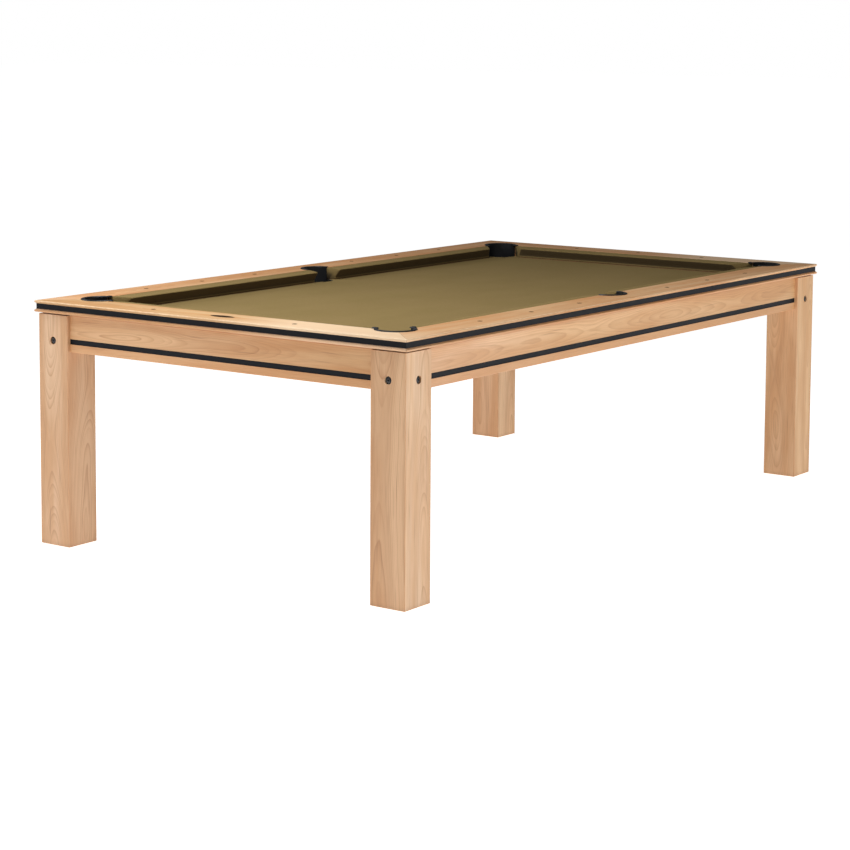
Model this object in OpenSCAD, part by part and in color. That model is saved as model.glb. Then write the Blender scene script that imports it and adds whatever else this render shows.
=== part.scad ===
// Slate-bed pocket billiard table on four square legs.
// Frame: origin on the floor under the middle of the table, +Z up.
// +X runs along the length; the front is the -Y long side, the left end is -X.
// All sizes are in millimetres.

/* [Playing area] */
// Length of the playing area between cushion noses
play_l = 2235.2; // [1900:0.1:2540]
// Width of the playing area between cushion noses
play_w = 1117.6; // [950:0.1:1270]
// Height of the rail tops above the floor
rail_top = 787; // [740:1:810]
// Height of the cloth above the floor
bed_z = 745; // [700:1:770]

/* [Rails and cushions] */
// Width of the wooden part of a rail
rail_w = 123.6; // [80:0.1:160]
// Depth of a cushion from the wood to its nose
cushion = 51.2; // [40:0.1:60]
// Height of the underside of the rail's outer lip
lip_z = 750; // [735:1:760]
// Height of the lower edge of the dark strip in the rail
rail_strip_z = 760; // [752:1:770]
// Height of the dark strip in the rail
rail_strip_h = 17; // [8:1:24]
// Depth of the dark strip behind the lips
rail_strip_in = 5; // [1:0.5:8]
// Width of the pocket mouth at a corner
corner_mouth = 127; // [110:0.5:140]
// Width of the pocket mouth at a side
side_mouth = 129.5; // [115:0.5:145]
// Thickness of the cloth
cloth_t = 1; // [0.5:0.1:2]

/* [Pockets] */
// Inner radius of a corner pocket
corner_r = 52; // [45:0.5:60]
// Inner radius of a side pocket
side_r = 50; // [45:0.5:60]
// Distance of a corner pocket's centre outside the nose lines
corner_out = 26; // [15:0.5:40]
// Distance of a side pocket's centre outside the nose line
side_out = 52.2; // [35:0.1:65]
// Wall of the moulded pocket
pocket_t = 4; // [2:0.5:6]
// Height of the underside of the pocket cups
cup_z = 634; // [560:1:660]
// Width of the raised collar round a pocket
collar_w = 12; // [8:1:18]
// Height of the raised collar above the rails
collar_h = 3.4; // [1:0.1:6]

/* [Slate] */
// Thickness of the slate
slate_t = 25; // [19:0.5:30]
// Gap between neighbouring slates
slate_gap = 0.5; // [0.2:0.1:1]

/* [Legs and aprons] */
// Side of a square leg
leg = 125; // [90:1:160]
// Distance of a leg's outer faces inside the rail's edge
leg_in = 10; // [2:1:30]
// Thickness of a leg's two outer boards
board_out = 34; // [20:1:40]
// Thickness of a leg's two inner boards
board_in = 22; // [15:1:30]
// Height of a leg's underside above the floor
leg_z = 3; // [1:0.5:6]
// Height of the top of the frame rests on a leg's inner boards
rest_z = 632; // [600:1:660]
// Distance of an apron's face behind the leg faces
apron_in = 12; // [4:1:20]
// Thickness of an apron
apron_t = 22; // [15:1:30]
// Height of an apron's lower edge
apron_z = 629; // [560:1:680]
// Height of the lower edge of the dark strip in an apron
apron_strip_z = 654; // [640:1:680]
// Height of the dark strip in an apron
apron_strip_h = 17; // [8:1:24]
// Height of the leg bolts
bolt_z = 662.5; // [640:0.5:700]

/* [Levelling feet] */
// Radius of a foot pad
pad_r = 25; // [18:1:30]
// Radius of a foot's screw
stud_r = 6; // [4:0.5:8]
// Running gap round a foot's screw
stud_gap = 0.05; // [0.02:0.01:0.1]

/* [Part to draw] */
// Name of the piece to draw, or all

/* [Hidden] */
$fn = 64;
hx = play_l / 2;
hy = play_w / 2;
bx = hx + cushion;
by = hy + cushion;
ox = bx + rail_w;
oy = by + rail_w;
lx = ox - leg_in;
ly = oy - leg_in;
cx = lx - leg / 2;
cy = ly - leg / 2;
ix = lx - board_out;
iy = ly - board_out;
slate_x = ix - 5.4;
slate_y = iy - 5.6;
slate_top = bed_z - cloth_t;
slate_low = slate_top - slate_t;
slate_cut = hx * 2 / 5.4;
beam_t = 43;
beam_h = slate_low - rest_z;
beam_y = iy - beam_t;
beam_x = ix - beam_t;
cross_w = 60;
px = hx + corner_out;
py = hy + corner_out;
sy = hy + side_out;
// Distance of the corner cushion noses from the nose corner, along a rail
nose_back = corner_mouth * sqrt(0.5);
jaw_back = 29;
side_nose = side_mouth / 2;
side_jaw = 51;
// Cloth over a cushion's end, measured along the rail
jaw_cloth = cloth_t * 1.5;
// Foot of a cushion: its distance from the wood and the height of its upright part
foot_v = 33;
foot_h = 8;
strip_deep = 6;
apron_strip_in = 2;
// Corner collar: how far its ring runs past the pocket's middle, and its round ends
collar_end = 13;
knob_at = [-62, 20];
knob_r = 8.5;
// A height above the whole table
above = 800;
arris = 1.5;
// The foot of a leg is solid up to here, with a recess and a threaded bush
foot_block_z = 60;
recess_r = pad_r + 4;
recess_z = 23;
bush_r = 10;
bush_h = 25;
flange_r = 14;
flange_t = 1.6;
// Swivel of a foot: neck of the screw in the boss of the pad
neck_r = 5;
neck_gap = 0.05;
boss_r = 11;
boss_z = 14.8;
hex_z = 15;
hex_h = 6;
hex_r = 9.8;
screw_end_z = 94;
// Leg bolts
bolt_r = 5;
bolt_gap = 0.25;
bore_r = 12.2;
bore_deep = 7;
head_r = 11.4;
head_h = 6;
socket_r = 3;
socket_deep = 3.5;
insert_r = 8;
insert_l = 20;
insert_end = 2;
bolt_l = board_out - bore_deep + insert_l - insert_end - 1;
// Screws between the frame and the aprons
apron_screw_z = 695;
apron_screws_long = [-1050, -700, -250, 250, 700, 1050];
apron_screws_short = [-300, 0, 300];
wood_screw_r = 3;
pilot_l = 15;
screw_head_r = 7;
screw_head_h = 3;
// Rail bolts
rail_bolt_r = 5;
rail_bolt_in = 25;
washer_r = 11;
washer_t = 3;
nut_r = 7.5;
nut_h = 6.5;
// Screws that hold the slates down
slate_head_r = 6.5;
slate_head_h = 4;
slate_screw_in = 30;
sight = play_l / 8;
sight_y = oy - 62;
sight_x = ox - 62;
sight_r = 8;
sight_t = 2;
plate_l = 98;
plate_w = 33;
rail_bolt_y = by + 18;
rail_bolt_x = bx + 18;
rail_bolts_long = [-920, -560, -200, 200, 560, 920];
rail_bolts_short = [-330, 0, 330];
wood = [0.86, 0.68, 0.5];
dark = [0.14, 0.14, 0.15];
cloth = [0.52, 0.46, 0.28];
steel = [0.6, 0.6, 0.62];

// ---- helpers ----

// Puts a piece made in the +X +Y quarter into the corner given by signs
module corner(a, b) {
  mirror([a < 0 ? 1 : 0, 0, 0]) mirror([0, b < 0 ? 1 : 0, 0]) children();
}

module corners() {
  for (a = [-1, 1], b = [-1, 1]) corner(a, b) children();
}

// Box from one point to another
module block(p, q) {
  translate(p) cube(q - p);
}

// Extrudes a section (u inwards, z up) along X; the outer edge is at y = oy
module along_back(section, half) {
  translate([-half, oy, 0]) rotate([90, 0, 90])
    linear_extrude(2 * half) mirror([1, 0]) polygon(section);
}

// The same along Y; the outer edge is at x = ox
module along_right(section, half) {
  translate([ox, half, 0]) rotate([90, 0, 0])
    linear_extrude(2 * half) mirror([1, 0]) polygon(section);
}

// Plan of the back rail between its two mitres
module back_mitre() {
  translate([0, 0, 600]) linear_extrude(300) polygon([
    [-ox - 1, oy + 1], [ox + 1, oy + 1], [bx, by], [-bx, by]
  ]);
}

// Plan of the right rail between its two mitres
module right_mitre() {
  translate([0, 0, 600]) linear_extrude(300) polygon([
    [ox + 1, oy + 1], [ox + 1, -oy - 1], [bx, -by], [bx, by]
  ]);
}

// ---- legs and feet ----

module leg_quarter() {
  c = arris;
  difference() {
    translate([0, 0, leg_z]) linear_extrude(bed_z - leg_z) polygon([
      [lx - leg + c, ly - leg], [lx - c, ly - leg], [lx, ly - leg + c],
      [lx, ly - c], [lx - c, ly], [lx - leg + c, ly],
      [lx - leg, ly - c], [lx - leg, ly - leg + c]
    ]);
    // hollow between the four boards
    block([lx - leg + board_in, ly - leg + board_in, foot_block_z],
      [ix, iy, above]);
    // the inner boards stop under the frame
    block([lx - leg - 1, ly - leg - 1, rest_z], [ix, iy, above]);
    // recess for the foot, and the hole for its bush
    translate([cx, cy, 0]) cylinder(r = recess_r, h = recess_z);
    translate([cx, cy, 0]) cylinder(r = bush_r, h = foot_block_z + 1);
    // bolt holes with counterbores in the two outer faces
    translate([cx, ly + 1, bolt_z]) rotate([90, 0, 0]) bolt_bore();
    translate([lx + 1, cy, bolt_z]) rotate([0, -90, 0]) bolt_bore();
  }
}

// Counterbore and bolt hole, from 1 mm outside the leg's face inwards
module bolt_bore() {
  cylinder(r = bore_r, h = bore_deep + 1);
  cylinder(r = bolt_r + bolt_gap, h = leg / 2);
}

module leg_front_left() color(wood) corner(-1, -1) leg_quarter();
module leg_front_right() color(wood) corner(1, -1) leg_quarter();
module leg_back_left() color(wood) corner(-1, 1) leg_quarter();
module leg_back_right() color(wood) corner(1, 1) leg_quarter();

module pad_quarter() {
  translate([cx, cy, 0]) rotate_extrude() polygon([
    [0, 0], [pad_r - 1.5, 0], [pad_r, 1.5], [pad_r, 5], [pad_r - 3, 8],
    [boss_r, 9], [boss_r, boss_z - 1], [boss_r - 1, boss_z],
    [neck_r + neck_gap, boss_z], [neck_r + neck_gap, 4], [0, 4]
  ]);
}

module foot_pad_front_left() color(dark) corner(-1, -1) pad_quarter();
module foot_pad_front_right() color(dark) corner(1, -1) pad_quarter();
module foot_pad_back_left() color(dark) corner(-1, 1) pad_quarter();
module foot_pad_back_right() color(dark) corner(1, 1) pad_quarter();

module screw_quarter() {
  translate([cx, cy, 0]) {
    translate([0, 0, 4 + neck_gap])
      cylinder(r = neck_r, h = hex_z - 4);
    translate([0, 0, hex_z]) cylinder(r = hex_r, h = hex_h, $fn = 6);
    translate([0, 0, hex_z + hex_h])
      cylinder(r = stud_r, h = screw_end_z - hex_z - hex_h);
    translate([0, 0, screw_end_z])
      cylinder(r1 = stud_r, r2 = stud_r - arris, h = arris);
  }
}

module foot_screw_front_left() color(steel) corner(-1, -1) screw_quarter();
module foot_screw_front_right() color(steel) corner(1, -1) screw_quarter();
module foot_screw_back_left() color(steel) corner(-1, 1) screw_quarter();
module foot_screw_back_right() color(steel) corner(1, 1) screw_quarter();

// Threaded bushes in the legs, each with a thin flange in the recess
module foot_inserts() color(steel) corners() {
  difference() {
    union() {
      translate([cx, cy, recess_z]) cylinder(r = bush_r, h = bush_h);
      translate([cx, cy, recess_z - flange_t])
        cylinder(r = flange_r, h = flange_t);
    }
    translate([cx, cy, 0])
      cylinder(r = stud_r + stud_gap, h = foot_block_z);
  }
}

// ---- aprons ----

// Section of an apron: u runs inwards from its face, z is the height
function apron_section() = [
  [0, apron_z + arris], [arris, apron_z], [apron_t, apron_z], [apron_t, lip_z],
  [0, lip_z], [0, apron_strip_z + apron_strip_h],
  [strip_deep, apron_strip_z + apron_strip_h], [strip_deep, apron_strip_z],
  [0, apron_strip_z]
];

// Section of the strip in an apron, its face a little behind the board's
function apron_strip_section() = [
  [apron_strip_in, apron_strip_z], [strip_deep, apron_strip_z],
  [strip_deep, apron_strip_z + apron_strip_h],
  [apron_strip_in, apron_strip_z + apron_strip_h]
];

module long_apron(section) {
  translate([0, -leg_in - apron_in, 0]) along_back(section, lx - leg);
}

module short_apron(section) {
  translate([-leg_in - apron_in, 0, 0]) along_right(section, ly - leg);
}

// Pilot holes for the screws that come through the frame
module apron_pilots() {
  for (x = apron_screws_long) for (b = [-1, 1])
    corner(1, b) translate([x, iy - 1, apron_screw_z]) rotate([-90, 0, 0])
      cylinder(r = wood_screw_r, h = pilot_l + 1);
  for (y = apron_screws_short) for (a = [-1, 1])
    corner(a, 1) translate([ix - 1, y, apron_screw_z]) rotate([0, 90, 0])
      cylinder(r = wood_screw_r, h = pilot_l + 1);
}

module apron_front() color(wood) difference() {
  corner(1, -1) long_apron(apron_section());
  apron_pilots();
}
module apron_back() color(wood) difference() {
  long_apron(apron_section());
  apron_pilots();
}
module apron_left() color(wood) difference() {
  corner(-1, 1) short_apron(apron_section());
  apron_pilots();
}
module apron_right() color(wood) difference() {
  short_apron(apron_section());
  apron_pilots();
}

module apron_strips() color(dark) {
  for (b = [-1, 1]) corner(1, b) long_apron(apron_strip_section());
  for (a = [-1, 1]) corner(a, 1) short_apron(apron_strip_section());
}

// ---- rails ----

// Section of a rail: two lips with a groove between them for the strip
function rail_section() = [
  [rail_w, bed_z], [rail_w, rail_top], [4, rail_top],
  [1.4, rail_top - 1.2], [0, rail_top - 3.8], [0, rail_top - 5],
  [rail_strip_in, rail_strip_z + rail_strip_h],
  [rail_strip_in + strip_deep, rail_strip_z + rail_strip_h],
  [rail_strip_in + strip_deep, rail_strip_z],
  [rail_strip_in, rail_strip_z], [0, rail_strip_z - 4.4],
  [0, lip_z + 3], [2.5, lip_z], [51, lip_z], [51, bed_z]
];

function rail_strip_section() = [
  [rail_strip_in, rail_strip_z], [rail_strip_in + strip_deep, rail_strip_z],
  [rail_strip_in + strip_deep, rail_strip_z + rail_strip_h],
  [rail_strip_in, rail_strip_z + rail_strip_h]
];

// Round openings in the wood for the six pockets
module rail_pockets() {
  corners() translate([px, py, 700])
    cylinder(r = corner_r + pocket_t + 0.5, h = 120);
  for (b = [-1, 1]) corner(1, b) translate([0, sy, 700])
    cylinder(r = side_r + pocket_t + 0.5, h = 120);
}

// Shallow seats for the sights and the plate, and the holes for the bolts
module rail_holes() {
  translate([0, 0, rail_top - sight_t]) sight_set(sight_t + 1);
  translate([0, 0, rail_top - sight_t]) plate_shape(sight_t + 1);
  for (x = rail_bolts_long) for (b = [-1, 1]) corner(1, b)
    translate([x, rail_bolt_y, bed_z - 1])
      cylinder(r = rail_bolt_r, h = rail_bolt_in + 1);
  for (y = rail_bolts_short) for (a = [-1, 1]) corner(a, 1)
    translate([rail_bolt_x, y, bed_z - 1])
      cylinder(r = rail_bolt_r, h = rail_bolt_in + 1);
}

module long_rail(b) difference() {
  corner(1, b) intersection() {
    along_back(rail_section(), ox + 1);
    back_mitre();
  }
  rail_pockets();
  rail_holes();
}

module short_rail(a) difference() {
  corner(a, 1) intersection() {
    along_right(rail_section(), oy + 1);
    right_mitre();
  }
  rail_pockets();
  rail_holes();
}

module rail_front() color(wood) long_rail(-1);
module rail_back() color(wood) long_rail(1);
module rail_left() color(wood) short_rail(-1);
module rail_right() color(wood) short_rail(1);

module rail_strips() color(dark) {
  for (b = [-1, 1]) corner(1, b) intersection() {
    along_back(rail_strip_section(), ox + 1);
    back_mitre();
  }
  for (a = [-1, 1]) corner(a, 1) intersection() {
    along_right(rail_strip_section(), oy + 1);
    right_mitre();
  }
}

// Round sights at the eighths of the length and the quarters of the width
module sight_set(h) {
  for (i = [-3, -2, -1, 1, 2, 3], b = [-1, 1])
    translate([i * sight, b * sight_y, 0]) cylinder(r = sight_r, h = h);
  for (i = [-1, 1]) translate([-sight_x, i * sight, 0])
    cylinder(r = sight_r, h = h);
  for (i = [-1, 0, 1]) translate([sight_x, i * sight, 0])
    cylinder(r = sight_r, h = h);
}

module sights() color(dark)
  translate([0, 0, rail_top - sight_t]) sight_set(sight_t);

// Plain pointed-oval plate in the middle of the left rail
module plate_shape(h) {
  r = (plate_l * plate_l + plate_w * plate_w) / (4 * plate_w);
  intersection() {
    translate([-sight_x + r - plate_w / 2, 0, 0]) cylinder(r = r, h = h);
    translate([-sight_x - r + plate_w / 2, 0, 0]) cylinder(r = r, h = h);
    translate([-sight_x - plate_w, -plate_l / 2 + 3, -1])
      cube([plate_w * 2, plate_l - 6, h + 2]);
  }
}

module rail_plate() color(dark)
  translate([0, 0, rail_top - sight_t]) plate_shape(sight_t + 0.4);

// ---- cushions ----

// Outer section of a cushion: v runs from the wood to the nose
function cushion_section() = [
  [0, bed_z], [foot_v, bed_z], [foot_v, bed_z + foot_h],
  [cushion - 0.7, bed_z + 33.4],
  [cushion, bed_z + 35.4], [cushion - 0.5, bed_z + 37],
  [cushion - 4, bed_z + 38], [20, rail_top - 1.2], [0, rail_top - 0.6]
];

// Section of the rubber, one cloth thickness inside
function rubber_section() = [
  [0, bed_z], [foot_v - cloth_t, bed_z],
  [foot_v - cloth_t, bed_z + foot_h + cloth_t * 0.3],
  [cushion - 0.7 - cloth_t * 1.35, bed_z + 33.4 + 0.1],
  [cushion - cloth_t, bed_z + 35.4],
  [cushion - 0.5 - cloth_t * 0.8, bed_z + 37 - cloth_t * 0.8],
  [cushion - 4, bed_z + 38 - cloth_t * 1.05],
  [20, rail_top - 1.2 - cloth_t], [0, rail_top - 0.6 - cloth_t]
];

// Long cushion in the +X +Y quarter, cut to its two jaws, each cut further in
module long_cushion(section, cut = 0) intersection() {
  translate([0, by, 0]) rotate([90, 0, 90])
    linear_extrude(hx) mirror([1, 0]) polygon(section);
  translate([0, 0, bed_z - 1]) linear_extrude(above - bed_z) polygon([
    [side_jaw + cut, by + 1], [side_jaw + cut, by],
    [side_nose + cut, hy], [side_nose + cut, hy - 1],
    [hx - nose_back - cut, hy - 1], [hx - nose_back - cut, hy],
    [hx - jaw_back - cut, by], [hx - jaw_back - cut, by + 1]
  ]);
}

// Short cushion on the right, cut to its two jaws, each cut further in
module short_cushion(section, cut = 0) intersection() {
  translate([bx, hy, 0]) rotate([90, 0, 0])
    linear_extrude(2 * hy) mirror([1, 0]) polygon(section);
  nose = hy - nose_back - cut;
  jaw = hy - jaw_back - cut;
  translate([0, 0, bed_z - 1]) linear_extrude(above - bed_z) polygon([
    [hx - 1, nose], [hx, nose], [bx, jaw], [bx + 1, jaw],
    [bx + 1, -jaw], [bx, -jaw], [hx, -nose], [hx - 1, -nose]
  ]);
}

module long_rubber(a, b) color([0.45, 0.25, 0.2])
  corner(a, b) long_cushion(rubber_section(), jaw_cloth);
module short_rubber(a) color([0.45, 0.25, 0.2])
  corner(a, 1) short_cushion(rubber_section(), jaw_cloth);
module long_cloth(a, b) color(cloth) corner(a, b) difference() {
  long_cushion(cushion_section());
  long_cushion(rubber_section(), jaw_cloth);
}
module short_cloth(a) color(cloth) corner(a, 1) difference() {
  short_cushion(cushion_section());
  short_cushion(rubber_section(), jaw_cloth);
}

module rubber_front_left() long_rubber(-1, -1);
module rubber_front_right() long_rubber(1, -1);
module rubber_back_left() long_rubber(-1, 1);
module rubber_back_right() long_rubber(1, 1);
module rubber_left() short_rubber(-1);
module rubber_right() short_rubber(1);
module cushion_cloth_front_left() long_cloth(-1, -1);
module cushion_cloth_front_right() long_cloth(1, -1);
module cushion_cloth_back_left() long_cloth(-1, 1);
module cushion_cloth_back_right() long_cloth(1, 1);
module cushion_cloth_left() short_cloth(-1);
module cushion_cloth_right() short_cloth(1);

// ---- slates and bed cloth ----

// Round openings in the bed for the six pockets
module bed_pockets(h) {
  corners() translate([px, py, 0])
    cylinder(r = corner_r + pocket_t + 1, h = h);
  for (b = [-1, 1]) corner(1, b) translate([0, sy, 0])
    cylinder(r = side_r + pocket_t + 1, h = h);
}

// Clearance holes for the rail bolts
module bed_bolt_holes(h) {
  for (x = rail_bolts_long, b = [-1, 1])
    translate([x, b * rail_bolt_y, 0]) cylinder(r = 6.5, h = h);
  for (y = rail_bolts_short, a = [-1, 1])
    translate([a * rail_bolt_x, y, 0]) cylinder(r = 6.5, h = h);
}

// Slate screws of one quarter of the table, all over the frame
slate_screw_at = [
  [ix - 21.4, 370], [870, iy - 21.6], [480, iy - 21.6], [230, iy - 21.6],
  [slate_cut + 15, 250], [slate_cut - 15, 250]
];

// Countersunk screw, head flush with the slate
module slate_screw_shape() {
  translate([0, 0, slate_top - slate_head_h])
    cylinder(r1 = wood_screw_r, r2 = slate_head_r, h = slate_head_h);
  translate([0, 0, slate_low - slate_screw_in])
    cylinder(r = wood_screw_r, h = slate_t + slate_screw_in - slate_head_h);
}

module slate_screw_set() {
  for (p = slate_screw_at) corners() translate(p) slate_screw_shape();
}

module slate_piece(x0, x1) difference() {
  block([x0, -slate_y, slate_low], [x1, slate_y, slate_top]);
  translate([0, 0, slate_low - 1]) bed_pockets(slate_t + 2);
  translate([0, 0, slate_low - 1]) bed_bolt_holes(slate_t + 2);
  slate_screw_set();
}

module slate_left() color([0.4, 0.42, 0.45])
  slate_piece(-slate_x, -slate_cut - slate_gap / 2);
module slate_middle() color([0.4, 0.42, 0.45])
  slate_piece(-slate_cut + slate_gap / 2, slate_cut - slate_gap / 2);
module slate_right() color([0.4, 0.42, 0.45])
  slate_piece(slate_cut + slate_gap / 2, slate_x);

module slate_screws() color(steel) slate_screw_set();

module bed_cloth() color(cloth) difference() {
  block([-slate_x, -slate_y, slate_top], [slate_x, slate_y, bed_z]);
  translate([0, 0, slate_top - 1]) bed_pockets(5);
  translate([0, 0, slate_top - 1]) bed_bolt_holes(5);
}

// ---- pockets ----

// Section of the collar's raised bar, w across and h high, with eased edges
function collar_section(w, h) = [
  [0, 0], [w, 0], [w, h * 0.3], [w - h * 0.35, h * 0.76], [w - h, h],
  [h, h], [h * 0.35, h * 0.76], [0, h * 0.3]
];

// Collar round a pocket of radius r, standing on the rail top
module collar_ring(r) {
  translate([0, 0, rail_top]) rotate_extrude()
    translate([r, 0]) polygon(collar_section(collar_w, collar_h));
}

// Rounded end of a corner collar, beside the end of the back cushion
module collar_knob() {
  h = collar_h + 0.6;
  translate([px + knob_at[0], py + knob_at[1], rail_top])
    rotate_extrude() polygon([
      [0, 0], [knob_r, 0], [knob_r, h * 0.3], [knob_r - h * 0.35, h * 0.76],
      [knob_r - h, h], [0, h]
    ]);
}

// Swaps the two rails of the +X +Y corner
module other_rail() {
  translate([bx - by, by - bx, 0]) mirror([1, -1, 0]) children();
}

// Corner pocket in the +X +Y quarter: cup, back wall, cheeks and collar
module corner_pocket() {
  jaws = hx - jaw_back + by + 1;
  difference() {
    union() {
      translate([px, py, cup_z])
        cylinder(r = corner_r + pocket_t, h = slate_top - 2 - cup_z);
      // wall and cheeks on the rail side of the line between the jaws
      intersection() {
        union() {
          translate([px, py, 700])
            cylinder(r = corner_r + pocket_t, h = rail_top - 700);
          intersection() {
            translate([px, py, bed_z])
              cylinder(r = corner_r + 9, h = rail_top - bed_z);
            block([px - 80, py - 80, bed_z], [bx, by, rail_top]);
          }
        }
        translate([0, 0, 699]) linear_extrude(120)
          polygon([[jaws - oy, oy], [ox, oy], [ox, jaws - ox]]);
      }
      // collar, cut away over the mouth
      difference() {
        translate([px, py, 0]) collar_ring(corner_r);
        block([px - 80, py - 80, rail_top - 1],
          [px + collar_end, py + collar_end, above]);
      }
      collar_knob();
      other_rail() collar_knob();
    }
    translate([px, py, cup_z + 4]) cylinder(r = corner_r, h = 200);
  }
}

// Side pocket at the middle of the back rail
module side_pocket() {
  difference() {
    union() {
      translate([0, sy, cup_z])
        cylinder(r = side_r + pocket_t, h = slate_top - 2 - cup_z);
      intersection() {
        union() {
          translate([0, sy, 700])
            cylinder(r = side_r + pocket_t, h = rail_top - 700);
          intersection() {
            translate([0, sy, 0]) collar_ring(side_r);
            block([-90, sy - 90, rail_top], [90, sy + 90, above]);
          }
        }
        block([-90, by, 699], [90, sy + 90, above]);
      }
    }
    translate([0, sy, cup_z + 4]) cylinder(r = side_r, h = 200);
  }
}

module pocket_front_left() color(dark) corner(-1, -1) corner_pocket();
module pocket_front_middle() color(dark) corner(1, -1) side_pocket();
module pocket_front_right() color(dark) corner(1, -1) corner_pocket();
module pocket_back_left() color(dark) corner(-1, 1) corner_pocket();
module pocket_back_middle() color(dark) side_pocket();
module pocket_back_right() color(dark) corner_pocket();

// ---- frame under the slate ----

// Holes for every fastener that enters the frame
module frame_holes() {
  slate_screw_set();
  insert_set();
  apron_screw_set();
}

module long_beam() difference() {
  block([-ix, beam_y, rest_z], [ix, iy, slate_low]);
  translate([0, sy, rest_z - 1])
    cylinder(r = side_r + pocket_t + 2, h = beam_h + 2);
}

module beam_front() color(wood) difference() {
  corner(1, -1) long_beam();
  frame_holes();
}
module beam_back() color(wood) difference() {
  long_beam();
  frame_holes();
}
module beam_left() color(wood) difference() {
  block([-ix, -beam_y, rest_z], [-beam_x, beam_y, slate_low]);
  frame_holes();
}
module beam_right() color(wood) difference() {
  block([beam_x, -beam_y, rest_z], [ix, beam_y, slate_low]);
  frame_holes();
}
module beam_cross_left() color(wood) difference() {
  block([-slate_cut - cross_w / 2, -beam_y, rest_z],
    [-slate_cut + cross_w / 2, beam_y, slate_low]);
  frame_holes();
}
module beam_cross_right() color(wood) difference() {
  block([slate_cut - cross_w / 2, -beam_y, rest_z],
    [slate_cut + cross_w / 2, beam_y, slate_low]);
  frame_holes();
}

// ---- fasteners ----

// Button head bolt along +X from the origin, with a hexagon socket
module leg_bolt() difference() {
  union() {
    rotate([0, 90, 0]) cylinder(r = bolt_r, h = bolt_l);
    rotate([0, -90, 0]) rotate_extrude() polygon([
      [0, 0], [head_r, 0], [head_r, 1.6], [head_r - 1.4, 3.4],
      [head_r - 4, 5], [head_r - 7, head_h], [0, head_h]
    ]);
  }
  translate([-head_h - 1, 0, 0]) rotate([0, 90, 0])
    cylinder(r = socket_r, h = socket_deep + 1, $fn = 6);
}

module leg_bolts() color(dark) corners() {
  translate([lx - bore_deep, cy, bolt_z]) rotate([0, 0, 180]) leg_bolt();
  translate([cx, ly - bore_deep, bolt_z]) rotate([0, 0, -90]) leg_bolt();
}

// Solid outline of the threaded inserts in the frame
module insert_set() corners() {
  translate([ix - insert_l, cy, bolt_z]) rotate([0, 90, 0])
    cylinder(r = insert_r, h = insert_l);
  translate([cx, iy - insert_l, bolt_z]) rotate([-90, 0, 0])
    cylinder(r = insert_r, h = insert_l);
}

module bolt_inserts() color([0.75, 0.62, 0.32]) difference() {
  insert_set();
  corners() {
    translate([ix - insert_l + insert_end, cy, bolt_z]) rotate([0, 90, 0])
      cylinder(r = bolt_r, h = insert_l);
    translate([cx, iy - insert_l + insert_end, bolt_z]) rotate([-90, 0, 0])
      cylinder(r = bolt_r, h = insert_l);
  }
}

// Flanged bolts that pull the rails down onto the slate
module rail_bolt_at(x, y) translate([x, y, 0]) {
  translate([0, 0, slate_low - washer_t])
    cylinder(r = washer_r, h = washer_t);
  translate([0, 0, slate_low - washer_t - nut_h])
    cylinder(r = nut_r, h = nut_h, $fn = 6);
  translate([0, 0, slate_low])
    cylinder(r = rail_bolt_r, h = bed_z + rail_bolt_in - slate_low);
}

module rail_bolts() color(steel) {
  for (x = rail_bolts_long, b = [-1, 1]) rail_bolt_at(x, b * rail_bolt_y);
  for (y = rail_bolts_short, a = [-1, 1]) rail_bolt_at(a * rail_bolt_x, y);
}

// Screws through the frame into the aprons
module apron_screw() {
  translate([0, 0, -screw_head_h])
    cylinder(r = screw_head_r, h = screw_head_h);
  cylinder(r = wood_screw_r, h = beam_t + pilot_l);
}

module apron_screw_set() {
  for (x = apron_screws_long, b = [-1, 1])
    corner(1, b) translate([x, beam_y, apron_screw_z])
      rotate([-90, 0, 0]) apron_screw();
  for (y = apron_screws_short, a = [-1, 1])
    corner(a, 1) translate([beam_x, y, apron_screw_z])
      rotate([0, 90, 0]) apron_screw();
}

module apron_screws() color(steel) apron_screw_set();

// ---- drawing ----

leg_front_left();
leg_front_right();
leg_back_left();
leg_back_right();
foot_pad_front_left();
foot_pad_front_right();
foot_pad_back_left();
foot_pad_back_right();
foot_screw_front_left();
foot_screw_front_right();
foot_screw_back_left();
foot_screw_back_right();
foot_inserts();
apron_front();
apron_back();
apron_left();
apron_right();
apron_strips();
rail_front();
rail_back();
rail_left();
rail_right();
rail_strips();
rubber_front_left();
rubber_front_right();
rubber_back_left();
rubber_back_right();
rubber_left();
rubber_right();
cushion_cloth_front_left();
cushion_cloth_front_right();
cushion_cloth_back_left();
cushion_cloth_back_right();
cushion_cloth_left();
cushion_cloth_right();
slate_left();
slate_middle();
slate_right();
bed_cloth();
pocket_front_left();
pocket_front_middle();
pocket_front_right();
pocket_back_left();
pocket_back_middle();
pocket_back_right();
beam_front();
beam_back();
beam_left();
beam_right();
beam_cross_left();
beam_cross_right();
sights();
rail_plate();
leg_bolts();
bolt_inserts();
rail_bolts();
slate_screws();
apron_screws();
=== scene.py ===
"""Pool table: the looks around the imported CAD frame. Metres, origin on the floor, +Z up.

+X runs along the table, the front is the -Y long side, and the left end is -X.
"""
import math

import bmesh
import bpy
from mathutils import Matrix, Vector
from mathutils.geometry import delaunay_2d_cdt


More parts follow.
